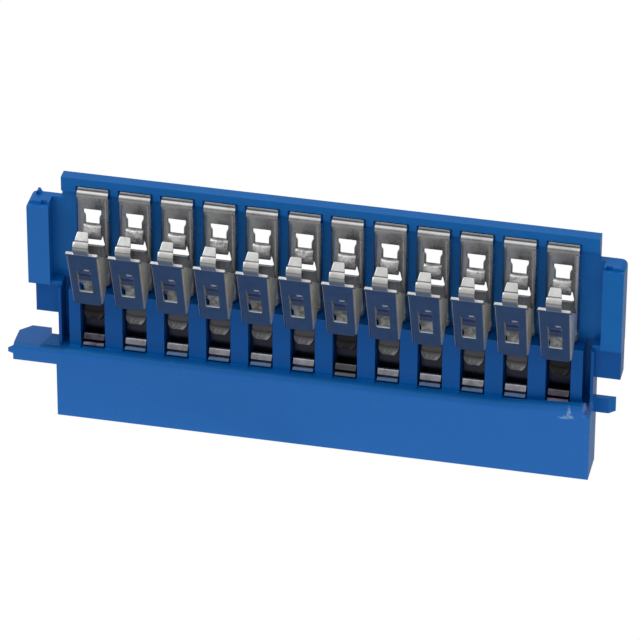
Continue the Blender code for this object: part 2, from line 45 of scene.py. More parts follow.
# ------------------------------------------------------------ node helpers
class Net:
    """A small wrapper for building a material's node tree."""

    def __init__(self, name):
        self.mat = bpy.data.materials.new(name)
        self.mat.use_nodes = True
        self.tree = self.mat.node_tree
        self.tree.nodes.clear()
        self.out = self.add("ShaderNodeOutputMaterial")

    def add(self, kind, **props):
        n = self.tree.nodes.new(kind)
        for k, v in props.items():
            setattr(n, k, v)
        return n

    def link(self, a, b):
        self.tree.links.new(a, b)

    def put(self, socket, value):
        if isinstance(value, bpy.types.NodeSocket):
            self.link(value, socket)
        else:
            socket.default_value = value

    def coords(self, kind="Object", scale=(1, 1, 1), loc=(0, 0, 0)):
        tc = self.add("ShaderNodeTexCoord")
        mp = self.add("ShaderNodeMapping")
        mp.inputs["Scale"].default_value = scale
        mp.inputs["Location"].default_value = loc
        self.link(tc.outputs[kind], mp.inputs["Vector"])
        return mp.outputs["Vector"]

    def noise(self, vec, scale, detail=3.0, rough=0.5, distort=0.0, color=False):
        n = self.add("ShaderNodeTexNoise")
        self.link(vec, n.inputs["Vector"])
        n.inputs["Scale"].default_value = scale
        n.inputs["Detail"].default_value = detail
        n.inputs["Roughness"].default_value = rough
        n.inputs["Distortion"].default_value = distort
        return n.outputs["Color" if color else "Fac"]

    def math(self, op, a, b=None, c=None, clamp=False):
        n = self.add("ShaderNodeMath", operation=op, use_clamp=clamp)
        self.put(n.inputs[0], a)
        if b is not None:
            self.put(n.inputs[1], b)
        if c is not None:
            self.put(n.inputs[2], c)
        return n.outputs[0]

    def remap(self, value, a, b, c=0.0, d=1.0, smooth=False):
        n = self.add("ShaderNodeMapRange")
        if smooth:
            n.interpolation_type = "SMOOTHSTEP"
        self.put(n.inputs["Value"], value)
        n.inputs["From Min"].default_value = a
        n.inputs["From Max"].default_value = b
        n.inputs["To Min"].default_value = c
        n.inputs["To Max"].default_value = d
        return n.outputs["Result"]

    def mix(self, fac, a, b, blend="MIX"):
        n = self.add("ShaderNodeMix", data_type="RGBA", blend_type=blend)
        self.put(n.inputs["Factor"], fac)
        self.put(n.inputs[6], a if isinstance(a, bpy.types.NodeSocket) else (*a, 1.0))
        self.put(n.inputs[7], b if isinstance(b, bpy.types.NodeSocket) else (*b, 1.0))
        return n.outputs[2]

    def ramp(self, fac, stops):
        n = self.add("ShaderNodeValToRGB")
        self.link(fac, n.inputs["Fac"])
        el = n.color_ramp.elements
        while len(el) < len(stops):
            el.new(0.5)
        for e, (p, c) in zip(el, stops):
            e.position = p
            e.color = (*c, 1.0)
        return n.outputs["Color"]

    def bump(self, height, strength, dist, normal=None):
        n = self.add("ShaderNodeBump")
        n.inputs["Strength"].default_value = strength
        n.inputs["Distance"].default_value = dist
        self.link(height, n.inputs["Height"])
        if normal is not None:
            self.link(normal, n.inputs["Normal"])
        return n.outputs["Normal"]

    def axis(self, vec, k):
        n = self.add("ShaderNodeSeparateXYZ")
        self.link(vec, n.inputs[0])
        return n.outputs[k]

    def dot(self, vec, d):
        n = self.add("ShaderNodeVectorMath", operation="DOT_PRODUCT")
        self.link(vec, n.inputs[0])
        n.inputs[1].default_value = d
        return n.outputs["Value"]

    def dist(self, vec, p, scale=(1, 1, 1)):
        a = self.add("ShaderNodeVectorMath", operation="SUBTRACT")
        self.link(vec, a.inputs[0])
        a.inputs[1].default_value = p
        b = self.add("ShaderNodeVectorMath", operation="MULTIPLY")
        self.link(a.outputs[0], b.inputs[0])
        b.inputs[1].default_value = scale
        c = self.add("ShaderNodeVectorMath", operation="LENGTH")
        self.link(b.outputs[0], c.inputs[0])
        return c.outputs["Value"]

    def normal(self, k):
        """One part of the surface's own direction."""
        n = self.add("ShaderNodeSeparateXYZ")
        self.link(self.add("ShaderNodeNewGeometry").outputs["Normal"], n.inputs[0])
        return n.outputs[k]

    def across(self, vec):
        """Distance from the middle of the nearest contact, in mm."""
        t = self.math("FRACT", self.math("DIVIDE", self.axis(vec, 0), PITCH * MM))
        return self.math("MULTIPLY", self.math("SUBTRACT", t, 0.5), PITCH)

    def band(self, value, a, b, c, d):
        """1 between b and c, falling to 0 at a and d."""
        return self.math("MULTIPLY", self.remap(value, a, b, 0.0, 1.0, True), self.remap(value, c, d, 1.0, 0.0, True))

    def shade(self, color, rough, metal=0.0, normal=None, ior=1.5, coat=0.0, coat_rough=0.05, aniso=0.0, tint=(1, 1, 1)):
        p = self.add("ShaderNodeBsdfPrincipled")
        self.put(p.inputs["Base Color"], color if isinstance(color, bpy.types.NodeSocket) else (*color, 1.0))
        self.put(p.inputs["Roughness"], rough)
        p.inputs["Metallic"].default_value = metal
        p.inputs["IOR"].default_value = ior
        p.inputs["Coat Weight"].default_value = coat
        p.inputs["Coat Roughness"].default_value = coat_rough
        p.inputs["Anisotropic"].default_value = aniso
        p.inputs["Specular Tint"].default_value = (*tint, 1.0)
        if normal is not None:
            self.link(normal, p.inputs["Normal"])
        self.link(p.outputs[0], self.out.inputs["Surface"])
        return p


# --------------------------------------------------------------- materials
def blue_plastic():
    m = Net("moulded_blue")
    v = m.coords()
    cloud = m.noise(v, 260, 4, 0.55)
    flow = m.noise(m.coords(scale=(60, 260, 260)), 1.0, 3, 0.5, 0.6)
    fine = m.noise(v, 5200, 2, 0.5)
    col = m.mix(m.remap(cloud, 0.3, 0.7), (0.004, 0.150, 0.525), (0.007, 0.166, 0.570))
    col = m.mix(m.remap(flow, 0.35, 0.65, 0.0, 0.35), col, (0.004, 0.160, 0.530))
    # painted light: the outer front-facing faces are painted a little paler, as faces lit from the front
    wing = m.math("MULTIPLY", m.remap(m.axis(v, 0), -0.0328, -0.0331, 0.0, 0.8, True), m.remap(m.axis(v, 2), 0.0168, 0.0174, 0.0, 1.0, True))
    lit_front_paint = m.math("MULTIPLY", m.remap(m.normal(1), -0.6, -0.95, 0.0, 1.0, True),
                  m.math("MAXIMUM", wing, m.remap(m.axis(v, 1), -0.0008, -0.0012, 0.0, 1.0, True)))
    col = m.mix(m.math("MULTIPLY", lit_front_paint, 0.85), col, (0.027, 0.184, 0.628))
    # painted shade: the comb under the jaws is painted a deeper blue
    comb_shade = m.math("MULTIPLY", m.band(m.axis(v, 2), 0.0094, 0.0104, 0.0166, 0.0176),
                  m.band(m.axis(v, 1), -0.0013, -0.0010, 0.0015, 0.0018))
    col = m.mix(m.math("MULTIPLY", comb_shade, 0.85), col, (0.001, 0.088, 0.385))
    # pale stress marks where the right corner was trimmed
    grain = m.math("MULTIPLY", m.math("SUBTRACT", m.noise(v, 2400, 4, 0.7, 1.2), 0.5), 0.9)
    bend = m.add("ShaderNodeVectorMath", operation="MULTIPLY_ADD")
    m.link(m.noise(v, 1500, 3, 0.6, color=True), bend.inputs[0])
    bend.inputs[1].default_value = (0.0012, 0.0, 0.0012)
    m.link(v, bend.inputs[2])
    w = bend.outputs[0]
    a = m.dist(w, (0.03035, -0.00222, 0.00925), (1900, 500, 2300))
    b = m.dist(w, (0.03015, -0.00215, 0.00980), (3200, 500, 1500))
    c = m.dist(w, (0.02965, -0.00222, 0.00900), (1250, 500, 3800))
    mark = m.math("MINIMUM", m.math("MINIMUM", a, b), c)
    mark = m.remap(m.math("ADD", mark, grain), 0.25, 1.05, 1.0, 0.0, True)
    col = m.mix(m.math("MULTIPLY", mark, 0.62), col, (0.36, 0.56, 0.86))
    # the torn end face is rougher, and painted a pale lilac highlight where it faces right
    torn_and_glint = m.math("MULTIPLY", m.band(m.normal(1), -0.97, -0.9, -0.12, -0.05), m.remap(m.normal(0), 0.25, 0.5, 0.0, 1.0, True))
    torn_and_glint = m.math("MULTIPLY", torn_and_glint, m.math("MULTIPLY", m.band(m.axis(v, 0), 0.0298, 0.0302, 0.0324, 0.0326),
                                           m.band(m.axis(v, 2), 0.0082, 0.0088, 0.0106, 0.0112)))
    col = m.mix(m.math("MULTIPLY", torn_and_glint, m.remap(grain, -0.3, 0.3, 0.55, 0.95)), col, (0.17, 0.29, 0.66))
    # painted highlight: a pale lilac patch on the trimmed end, rougher and bumped
    scar_and_glint = m.math("ADD", m.dist(w, (0.03202, -0.00093, 0.0099), (1300, 700, 800)), grain)
    scar_and_glint = m.remap(scar_and_glint, 0.75, 1.05, 1.0, 0.0, True)
    col = m.mix(m.math("MULTIPLY", scar_and_glint, m.remap(grain, -0.3, 0.3, 0.35, 0.75)), col, (0.14, 0.25, 0.62))
    # painted reflection: the arm's top is painted a hazy lilac as the reflection of the bright sky, and the ledge
    # beside the end wall is painted deep blue as the reflection of the wing's underside
    top = m.math("MULTIPLY", m.remap(m.normal(2), 0.6, 0.85, 0.0, 1.0, True), m.band(m.axis(v, 2), 0.0086, 0.0089, 0.0097, 0.0100))
    edge = m.math("SUBTRACT", m.axis(v, 0), m.math("MULTIPLY", m.axis(v, 1), 0.32))
    sky_reflection = m.math("MULTIPLY", top, m.remap(edge, -0.0335, -0.0338, 0.0, 1.0, True))
    col = m.mix(m.math("MULTIPLY", sky_reflection, m.remap(cloud, 0.3, 0.7, 0.45, 0.75)), col, (0.050, 0.135, 0.400))
    deep = m.math("MULTIPLY", top, m.band(edge, -0.0338, -0.0335, -0.0310, -0.0300))
    col = m.mix(m.math("MULTIPLY", deep, 0.80), col, (0.001, 0.085, 0.300))
    white = m.math("MAXIMUM", m.math("MAXIMUM", mark, torn_and_glint), scar_and_glint)
    rough = m.math("ADD", m.remap(cloud, 0.2, 0.8, 0.20, 0.30), m.math("MULTIPLY", white, 0.25))
    h = m.math("ADD", m.math("MULTIPLY", fine, 0.35), m.math("MULTIPLY", m.noise(v, 700, 2, 0.5), 1.0))
    h = m.math("ADD", h, m.math("MULTIPLY", m.math("MULTIPLY", white, grain), 6.0))
    m.shade(col, rough, 0.0, m.bump(h, 0.06, 0.00004), ior=1.42, tint=(0.45, 0.80, 1.0))
    return m.mat


def plate_metal():
    m = Net("tinned_plate")
    v = m.coords()
    z = m.axis(v, 2)
    tint = m.noise(v, 420, 3, 0.6, 0.4, color=True)
    grey = m.noise(v, 620, 4, 0.62)
    lines = m.noise(m.coords(scale=(180, 900, 4200)), 1.0, 3, 0.6)
    streak = m.noise(m.coords(scale=(4200, 4200, 160)), 1.0, 3, 0.6)
    col = m.ramp(grey, [(0.25, (0.42, 0.415, 0.41)), (0.55, (0.58, 0.575, 0.56)), (0.8, (0.70, 0.69, 0.67))])
    col = m.mix(0.16, col, tint, "OVERLAY")
    col = m.mix(m.remap(lines, 0.52, 0.72, 0.0, 0.30), col, (0.27, 0.28, 0.31))
    # painted highlight: brighter along the side bends and the top, where the bends catch the light
    u = m.across(v)
    edge = m.math("MULTIPLY", m.remap(m.math("ABSOLUTE", u), 1.15, 1.75, 0.0, 1.0, True), m.remap(z, 0.0178, 0.0190))
    bend_highlight = m.math("MAXIMUM", edge, m.remap(z, 0.0291, 0.0297, 0.0, 1.0, True))
    col = m.mix(m.math("MULTIPLY", bend_highlight, m.remap(grey, 0.3, 0.7, 0.45, 0.95)), col, (0.78, 0.78, 0.79))
    # painted reflection: a blue tint along the left side
    left_blue_reflection = m.math("MULTIPLY", m.remap(u, -1.10, -1.55, 0.0, 1.0, True), m.band(z, 0.0180, 0.0190, 0.0288, 0.0293))
    col = m.mix(m.math("MULTIPLY", left_blue_reflection, 0.75), col, (0.235, 0.340, 0.520))
    # painted shade: darker lower down behind the jaw and nearly black where it stands in the pocket, with a painted
    # shadow over the left of the spoon end; brownish spots behind the jaw
    low = m.band(z, 0.0182, 0.0195, 0.0222, 0.0270)
    col = m.mix(m.math("MULTIPLY", low, 0.75), col, (0.20, 0.215, 0.25))
    deep = m.band(z, 0.0130, 0.0137, 0.0154, 0.0164)
    left_shadow = m.math("MULTIPLY", m.remap(u, -0.25, -0.75, 0.0, 1.0, True), m.remap(z, 0.0166, 0.0154))
    deep = m.math("MAXIMUM", deep, left_shadow)
    col = m.mix(m.math("MULTIPLY", deep, 0.90), col, (0.045, 0.048, 0.062))
    rust = m.band(z, 0.0156, 0.0164, 0.0182, 0.0192)
    spots = m.noise(v, 1300, 3, 0.6, 0.6)
    col = m.mix(m.math("MULTIPLY", rust, 0.92), col, m.ramp(spots, [(0.36, (0.30, 0.25, 0.20)), (0.5, (0.52, 0.53, 0.47)), (0.64, (0.80, 0.83, 0.84))]))
    # the rolled curl is dull and mottled with painted bright glints, and a painted shade line darkens the groove below
    # the rim
    y = m.axis(v, 1)
    curl = m.math("MULTIPLY", m.remap(y, 0.00022, 0.00005, 0.0, 1.0, True), m.band(z, 0.0240, 0.0242, 0.0259, 0.0261))
    col = m.mix(m.math("MULTIPLY", curl, 0.90), col, m.ramp(m.noise(v, 1700, 3, 0.7, 0.8), [(0.36, (0.42, 0.415, 0.41)), (0.48, (0.88, 0.87, 0.86)), (0.60, (0.99, 0.985, 0.98))]))
    col = m.mix(m.math("MULTIPLY", m.band(z, 0.03008, 0.03013, 0.03021, 0.03026), 0.88), col, (0.07, 0.075, 0.09))
    # painted shade: the spoon-shaped ends are painted dimmer; they are dark at the two end places and at one middle
    # place
    x = m.axis(v, 0)
    spoon_shade = m.remap(z, 0.0150, 0.0142, 0.0, 1.0, True)
    col = m.mix(m.math("MULTIPLY", spoon_shade, 0.40), col, (0.28, 0.28, 0.29))
    odd = m.math("MAXIMUM", m.remap(m.math("ABSOLUTE", x), 0.0250, 0.0258, 0.0, 1.0), m.band(x, 0.0006, 0.0010, 0.0041, 0.0045))
    col = m.mix(m.math("MULTIPLY", m.math("MULTIPLY", odd, m.remap(z, 0.0164, 0.0154, 0.0, 1.0, True)), 0.94), col, (0.040, 0.036, 0.038))
    rough = m.math("ADD", m.remap(grey, 0.2, 0.8, 0.22, 0.36), m.remap(streak, 0.3, 0.7, -0.04, 0.05))
    rough = m.math("ADD", rough, m.math("ADD", m.math("MULTIPLY", rust, 0.22), m.math("MULTIPLY", curl, 0.16)))
    h = m.math("ADD", m.math("MULTIPLY", streak, 0.5), m.math("ADD", lines, m.noise(v, 900, 3, 0.6)))
    m.shade(col, rough, 1.0, m.bump(h, 0.12, 0.00003))
    return m.mat


def jaw_metal():
    m = Net("bright_spring_sheet")
    v = m.coords()
    cloud = m.noise(v, 520, 3, 0.6, 0.5)
    streak = m.noise(m.coords(scale=(4200, 900, 420)), 1.0, 3, 0.6)
    col = m.ramp(cloud, [(0.3, (0.66, 0.66, 0.645)), (0.7, (0.80, 0.80, 0.78))])
    # painted reflection: the flat front panel is painted navy for the dark blue surroundings it reflects, and the bent
    # sides are dull and painted a lighter brownish tone as painted light
    y, z = m.axis(v, 1), m.axis(v, 2)
    front_reflection = m.math("MULTIPLY", m.remap(m.normal(1), -0.30, -0.60, 0.0, 1.0, True), m.remap(z, 0.02515, 0.0249, 0.0, 1.0, True))
    # painted highlight: left bright on the top of the small ridge over the lance, at its right end
    ridge_highlight = m.math("MULTIPLY", m.remap(m.normal(2), -0.10, 0.10, 0.0, 1.0, True), m.remap(z, 0.0221, 0.02225, 0.0, 1.0, True))
    ridge_highlight = m.math("MULTIPLY", ridge_highlight, m.band(m.across(v), 0.0, 0.25, 0.70, 0.85))
    front_reflection = m.math("MULTIPLY", front_reflection, m.math("SUBTRACT", 1.0, ridge_highlight))
    patch = m.noise(v, 760, 3, 0.6, 0.8)
    navy_reflection = m.ramp(patch, [(0.3, (0.036, 0.106, 0.285)), (0.7, (0.052, 0.134, 0.340))])
    # painted reflection: the neck of the tongue is painted a paler navy
    neck_reflection = m.math("MULTIPLY", m.remap(m.normal(1), -0.60, -0.85, 0.0, 1.0, True), m.band(z, 0.0250, 0.0252, 0.0257, 0.0261))
    col = m.mix(m.math("MULTIPLY", neck_reflection, 0.9), col, (0.18, 0.255, 0.40))
    # painted reflection: a paler navy over the pressed-in lance
    lance_reflection = m.math("MULTIPLY", m.band(z, 0.0201, 0.0204, 0.0221, 0.0223), m.remap(m.math("ABSOLUTE", m.across(v)), 0.76, 0.72, 0.0, 1.0, True))
    navy_reflection = m.mix(m.math("MULTIPLY", lance_reflection, 0.8), navy_reflection, (0.15, 0.215, 0.40))
    col = m.mix(m.math("MULTIPLY", front_reflection, 0.96), col, navy_reflection)
    # painted light: the sides facing left and right are painted a lighter cream-brown, and are rougher
    flank_dull_lit = m.remap(m.math("ABSOLUTE", m.normal(0)), 0.55, 0.9, 0.0, 1.0, True)
    olive = m.ramp(m.noise(v, 640, 3, 0.6, 0.6), [(0.3, (0.86, 0.80, 0.68)), (0.5, (0.95, 0.92, 0.82)), (0.72, (0.99, 0.98, 0.93))])
    col = m.mix(flank_dull_lit, col, olive)
    # painted shade in the crease of the tongue
    crease_shade = m.math("MULTIPLY", m.band(y, -0.00525, -0.00519, -0.00509, -0.00503), m.band(z, 0.02655, 0.02665, 0.0269, 0.0270))
    col = m.mix(m.math("MULTIPLY", crease_shade, 0.85), col, (0.12, 0.12, 0.125))
    rough = m.math("ADD", m.remap(cloud, 0.2, 0.8, 0.16, 0.27), m.remap(streak, 0.3, 0.7, -0.02, 0.05))
    rough = m.math("ADD", rough, m.math("MULTIPLY", flank_dull_lit, 0.36))
    m.shade(col, rough, 1.0, m.bump(m.math("ADD", streak, patch), 0.09, 0.00003))
    return m.mat


def tail_metal():
    m = Net("tail_tin")
    v = m.coords()
    x, z = m.axis(v, 0), m.axis(v, 2)
    cloud = m.noise(v, 900, 4, 0.6, 0.5)
    col = m.ramp(cloud, [(0.3, (0.44, 0.45, 0.50)), (0.7, (0.72, 0.73, 0.80))])
    # painted reflection: the foot is painted navy for the blue ledge it reflects
    foot = m.band(z, 0.0090, 0.0092, 0.0096, 0.00985)
    col = m.mix(m.math("MULTIPLY", foot, 0.9), col, (0.036, 0.111, 0.262))
    # dull brown at the two end places, dim at one middle place, and painted shade, near black, on the upstand above
    # the lug
    ends = m.remap(m.math("ABSOLUTE", x), 0.0250, 0.0258, 0.0, 1.0)
    col = m.mix(m.math("MULTIPLY", ends, 0.92), col, m.ramp(cloud, [(0.3, (0.06, 0.055, 0.085)), (0.7, (0.20, 0.175, 0.24))]))
    col = m.mix(m.math("MULTIPLY", m.band(x, 0.0006, 0.0010, 0.0041, 0.0045), 0.86), col, (0.12, 0.115, 0.12))
    upstand_shade = m.math("MULTIPLY", m.remap(m.axis(v, 1), 0.00065, 0.0009, 0.0, 1.0, True), m.remap(z, 0.0088, 0.0096, 0.0, 1.0, True))
    col = m.mix(m.math("MULTIPLY", upstand_shade, 0.96), col, (0.050, 0.054, 0.082))
    rough = m.remap(cloud, 0.2, 0.8, 0.22, 0.38)
    m.shade(col, rough, 1.0, m.bump(m.noise(v, 3800, 3, 0.6), 0.08, 0.00003))
    return m.mat


BLUE, PLATE, JAW, TAIL = blue_plastic(), plate_metal(), jaw_metal(), tail_metal()


# ------------------------------------------------- finish of the CAD carrier
def dress(ob, mat, width, segments, angle=32):
    ob.data.materials.clear()
    ob.data.materials.append(mat)
    ob.data.shade_smooth()
    weld = ob.modifiers.new("weld", "WELD")
    weld.merge_threshold = 2e-6
    bev = ob.modifiers.new("soft_edges", "BEVEL")
    bev.width = width
    bev.segments = segments
    bev.limit_method = "ANGLE"
    bev.angle_limit = math.radians(angle)
    bev.use_clamp_overlap = True
    bev.miter_outer = "MITER_ARC"
    wn = ob.modifiers.new("normals", "WEIGHTED_NORMAL")
    wn.keep_sharp = False
    wn.weight = 80


dress(nodes["contact_carrier"], BLUE, 0.00014, 3)


# ------------------------------------------------------ sheet-metal pieces
# lengths in mm; Y counts from the front face of the base, as the frame's
# y = 0 lies 2.25 mm behind it
Y0 = 2.25


def bent(points, radii, steps=6):
    """The path with its corners turned into arcs of the given radii."""
    out = [Vector(points[0])]
    for a, b, c, radius in zip(points, points[1:], points[2:], radii):
        a, b, c = Vector(a), Vector(b), Vector(c)
        u, w = (a - b).normalized(), (c - b).normalized()
        half = u.angle(w) / 2.0
        cut = min(radius / math.tan(half), 0.48 * (a - b).length, 0.48 * (c - b).length)
        r = cut * math.tan(half)
        centre = b + (u + w).normalized() * (r / math.sin(half))
        p, q = b + u * cut - centre, b + w * cut - centre
        turn = p.angle_signed(q)
        for k in range(steps + 1):
            t = -turn * k / steps
            out.append(centre + Vector((p.x * math.cos(t) - p.y * math.sin(t),
                                        p.x * math.sin(t) + p.y * math.cos(t))))
    out.append(Vector(points[-1]))
    return out


class Path:
    """A line in the (Y, Z) plane, read by the length along it."""

    def __init__(self, points):
        self.p = points
        self.s = [0.0]
        for a, b in zip(points, points[1:]):
            self.s.append(self.s[-1] + (b - a).length)
        self.end = self.s[-1]

    def at(self, s):
        k = 0
        while k < len(self.p) - 2 and s > self.s[k + 1]:
            k += 1
        d = (self.p[k + 1] - self.p[k]).normalized()
        return self.p[k] + d * (s - self.s[k]), d

    def at_height(self, z, first=True):
        """Length at which a falling line reaches the height z."""
        for k in range(len(self.p) - 1):
            za, zb = self.p[k].y, self.p[k + 1].y
            if za >= z >= zb and za != zb:
                return self.s[k] + (self.s[k + 1] - self.s[k]) * (za - z) / (za - zb)
        return None


def corner(loop, radius, steps=3):
    """The closed outline with every corner rounded."""
    out = []
    n = len(loop)
    for k in range(n):
        a, b, c = Vector(loop[k - 1]), Vector(loop[k]), Vector(loop[(k + 1) % n])
        u, w = (a - b), (c - b)
        cut = min(radius, 0.4 * u.length, 0.4 * w.length)
        p, q = b + u.normalized() * cut, b + w.normalized() * cut
        for j in range(steps + 1):
            t = j / steps
            v = p * (1 - t) ** 2 + b * 2 * t * (1 - t) + q * t * t
            out.append((v.x, v.y))
    return out


def flat_sheet(loops, cuts):
    """A flat blank from its outline and holes, sliced where it will bend."""
    bm = bmesh.new()
    for loop in loops:
        vs = [bm.verts.new((a, b, 0.0)) for a, b in loop]
        for p, q in zip(vs, vs[1:] + vs[:1]):
            bm.edges.new((p, q))
    bmesh.ops.triangle_fill(bm, use_beauty=True, edges=bm.edges[:], normal=(0, 0, 1))
    for co, no in cuts:
        bmesh.ops.bisect_plane(bm, geom=bm.verts[:] + bm.edges[:] + bm.faces[:], dist=1e-4,
                               plane_co=(co[0], co[1], 0), plane_no=(no[0], no[1], 0))
    for f in bm.faces:
        if f.normal.z < 0:
            f.normal_flip()
    return bm


def sheet(loops, cuts, to_space, thick, rim=0.05, segments=2):
    """A bent sheet with rounded edges, as a mesh in mm."""
    bm = flat_sheet(loops, cuts)
    for v in bm.verts:
        v.co = Vector(to_space(v.co.x, v.co.y))
    me = bpy.data.meshes.new("blank")
    bm.to_mesh(me)
    bm.free()
    ob = bpy.data.objects.new("blank", me)
    bpy.context.scene.collection.objects.link(ob)
    so = ob.modifiers.new("thick", "SOLIDIFY")
    so.thickness = thick
    so.offset = 0.0
    so.use_even_offset = True
    bev = ob.modifiers.new("rim", "BEVEL")
    bev.width = rim
    bev.segments = segments
    bev.limit_method = "ANGLE"
    bev.angle_limit = math.radians(50)
    dg = bpy.context.evaluated_depsgraph_get()
    dg.update()
    out = bpy.data.meshes.new_from_object(ob.evaluated_get(dg))
    bpy.data.objects.remove(ob, do_unlink=True)
    bpy.data.meshes.remove(me)
    return out


def gather(meshes):
    """The sheets of one piece as one mesh."""
    bm = bmesh.new()
    for me in meshes:
        bm.from_mesh(me)
    for f in bm.faces:
        f.smooth = True
    bmesh.ops.recalc_face_normals(bm, faces=bm.faces)
    for e in bm.edges:
        e.smooth = len(e.link_faces) != 2 or e.calc_face_angle() < math.radians(38)
    out = bpy.data.meshes.new("piece")
    bm.to_mesh(out)
    bm.free()
    for me in meshes:
        bpy.data.meshes.remove(me)
    return out


def across(us):
    return [((u, 0), (1, 0)) for u in us]


def along(vs):
    return [((0, v), (0, 1)) for v in vs]


def smooth(t):
    t = min(max(t, 0.0), 1.0)
    return t * t * (3 - 2 * t)


def side_bend(u, u0, radius, k=1.0):
    """Across-position and depth of a blank whose edge is bent back beyond u0."""
    a = abs(u) - u0
    if a <= 0 or k < 0.01:
        return u, 0.0
    arc, turn = radius * math.pi / 2, k * math.pi / 2
    r = arc / turn
    if a < arc:
        x, d = u0 + r * math.sin(a / r), r * (1 - math.cos(a / r))
    else:
        x = u0 + r * math.sin(turn) + (a - arc) * math.cos(turn)
        d = r * (1 - math.cos(turn)) + (a - arc) * math.sin(turn)
    return math.copysign(x, u), d


def mirror(half):
    """Outline from its right half, listed from top to bottom."""
    return list(half) + [(-u, v) for u, v in reversed(half)]


def contact_plate():
    line = Path(bent([(3.18, 30.08), (2.70, 29.80), (2.70, 13.75), (2.12, 12.86)], [0.8, 1.0], 8))
    z = line.at_height
    u0, r = 1.50, 0.32
    flange = u0 + r * math.pi / 2 + 0.36
    tip = [(1.25 - 0.72 * (1 - math.cos(t)), line.end - 1.05 + 1.05 * math.sin(t))
           for t in [math.pi / 2 * k / 7 for k in range(8)]]
    outline = mirror([(1.86, 0.0), (1.87, z(29.75)), (1.88, z(29.48)), (1.86, z(29.43)), (u0 - 0.03, z(29.42)),
                      (u0 - 0.03, z(29.36)), (flange - 0.08, z(29.33)), (flange, z(29.2)), (flange, z(17.8)), (flange - 0.1, z(17.65)), (1.75, z(17.5)),
                      (1.36, z(17.3)), (1.25, z(17.1)), (1.25, line.end - 1.3)] + tip)
    half = [(0.84, z(25.85)), (0.84, z(26.93)), (1.07, z(27.28)), (1.07, z(27.9))]
    tee = corner(half + [(-u, v) for u, v in reversed(half)], 0.09, 3)
    half = [(1.25, z(22.85)), (1.45, z(23.15)), (1.2, z(24.3)), (1.08, z(24.3)), (1.03, z(23.78))]
    slit = corner(half + [(-u, v) for u, v in reversed(half)], 0.07, 2)
    step = z(29.39)
    arcs = [u0 + r * math.pi / 2 * k / 6 for k in range(7)]
    cuts = across(arcs + [-u for u in arcs] + [-0.6, 0, 0.6])
    cuts += along([v for v in line.s[1:-1]] + [step] +
                  [z(h) for h in (28.6, 25.4, 21.5, 20, 18.5, 17.0, 15.5)])

    def space(u, v):
        (y, h), d = line.at(v)
        x, deep = side_bend(u, u0, r, 1.0 if v > step else 0.0)
        # the spoon-shaped end is dished
        bowl = smooth((v - line.end + 1.6) / 1.6) * 0.22 * (u / 1.25) ** 2
        return x, y + deep - bowl, h

    body = sheet([outline, tee, slit], cuts, space, 0.35, 0.055)

    def upright(u, v):
        return u, 3.19, v

    rim = sheet([[(1.86, 29.9), (1.86, 30.3), (1.80, 30.43), (1.70, 30.45), (-1.70, 30.45), (-1.80, 30.43),
                  (-1.86, 30.3), (-1.86, 29.9)]], [], upright, 0.35, 0.15, 4)

    roll = Path(bent([(2.72, 25.80), (2.32, 25.62), (1.86, 24.94), (2.14, 24.42), (2.70, 24.22)],
                     [0.3, 0.5, 0.3], 6))
    w = 1.03
    strip = corner([(w, 0.0), (w, roll.end), (-w, roll.end), (-w, 0.0)], 0.06, 2)

    def rolled(u, v):
        (y, h), d = roll.at(v)
        drop = 0.32 * (abs(u) / w) ** 2.4
        return u, y + (2.7 - y) * drop, h

    curl = sheet([strip], across([w * k / 5 for k in range(-4, 5)]) + along(roll.s[1:-1]), rolled, 0.24, 0.05)
    return gather([body, rim, curl])


JAW_TOP, JAW_LOW = Vector((-3.1, 25.1)), Vector((-0.4, 16.5))
JAW_T = 0.32


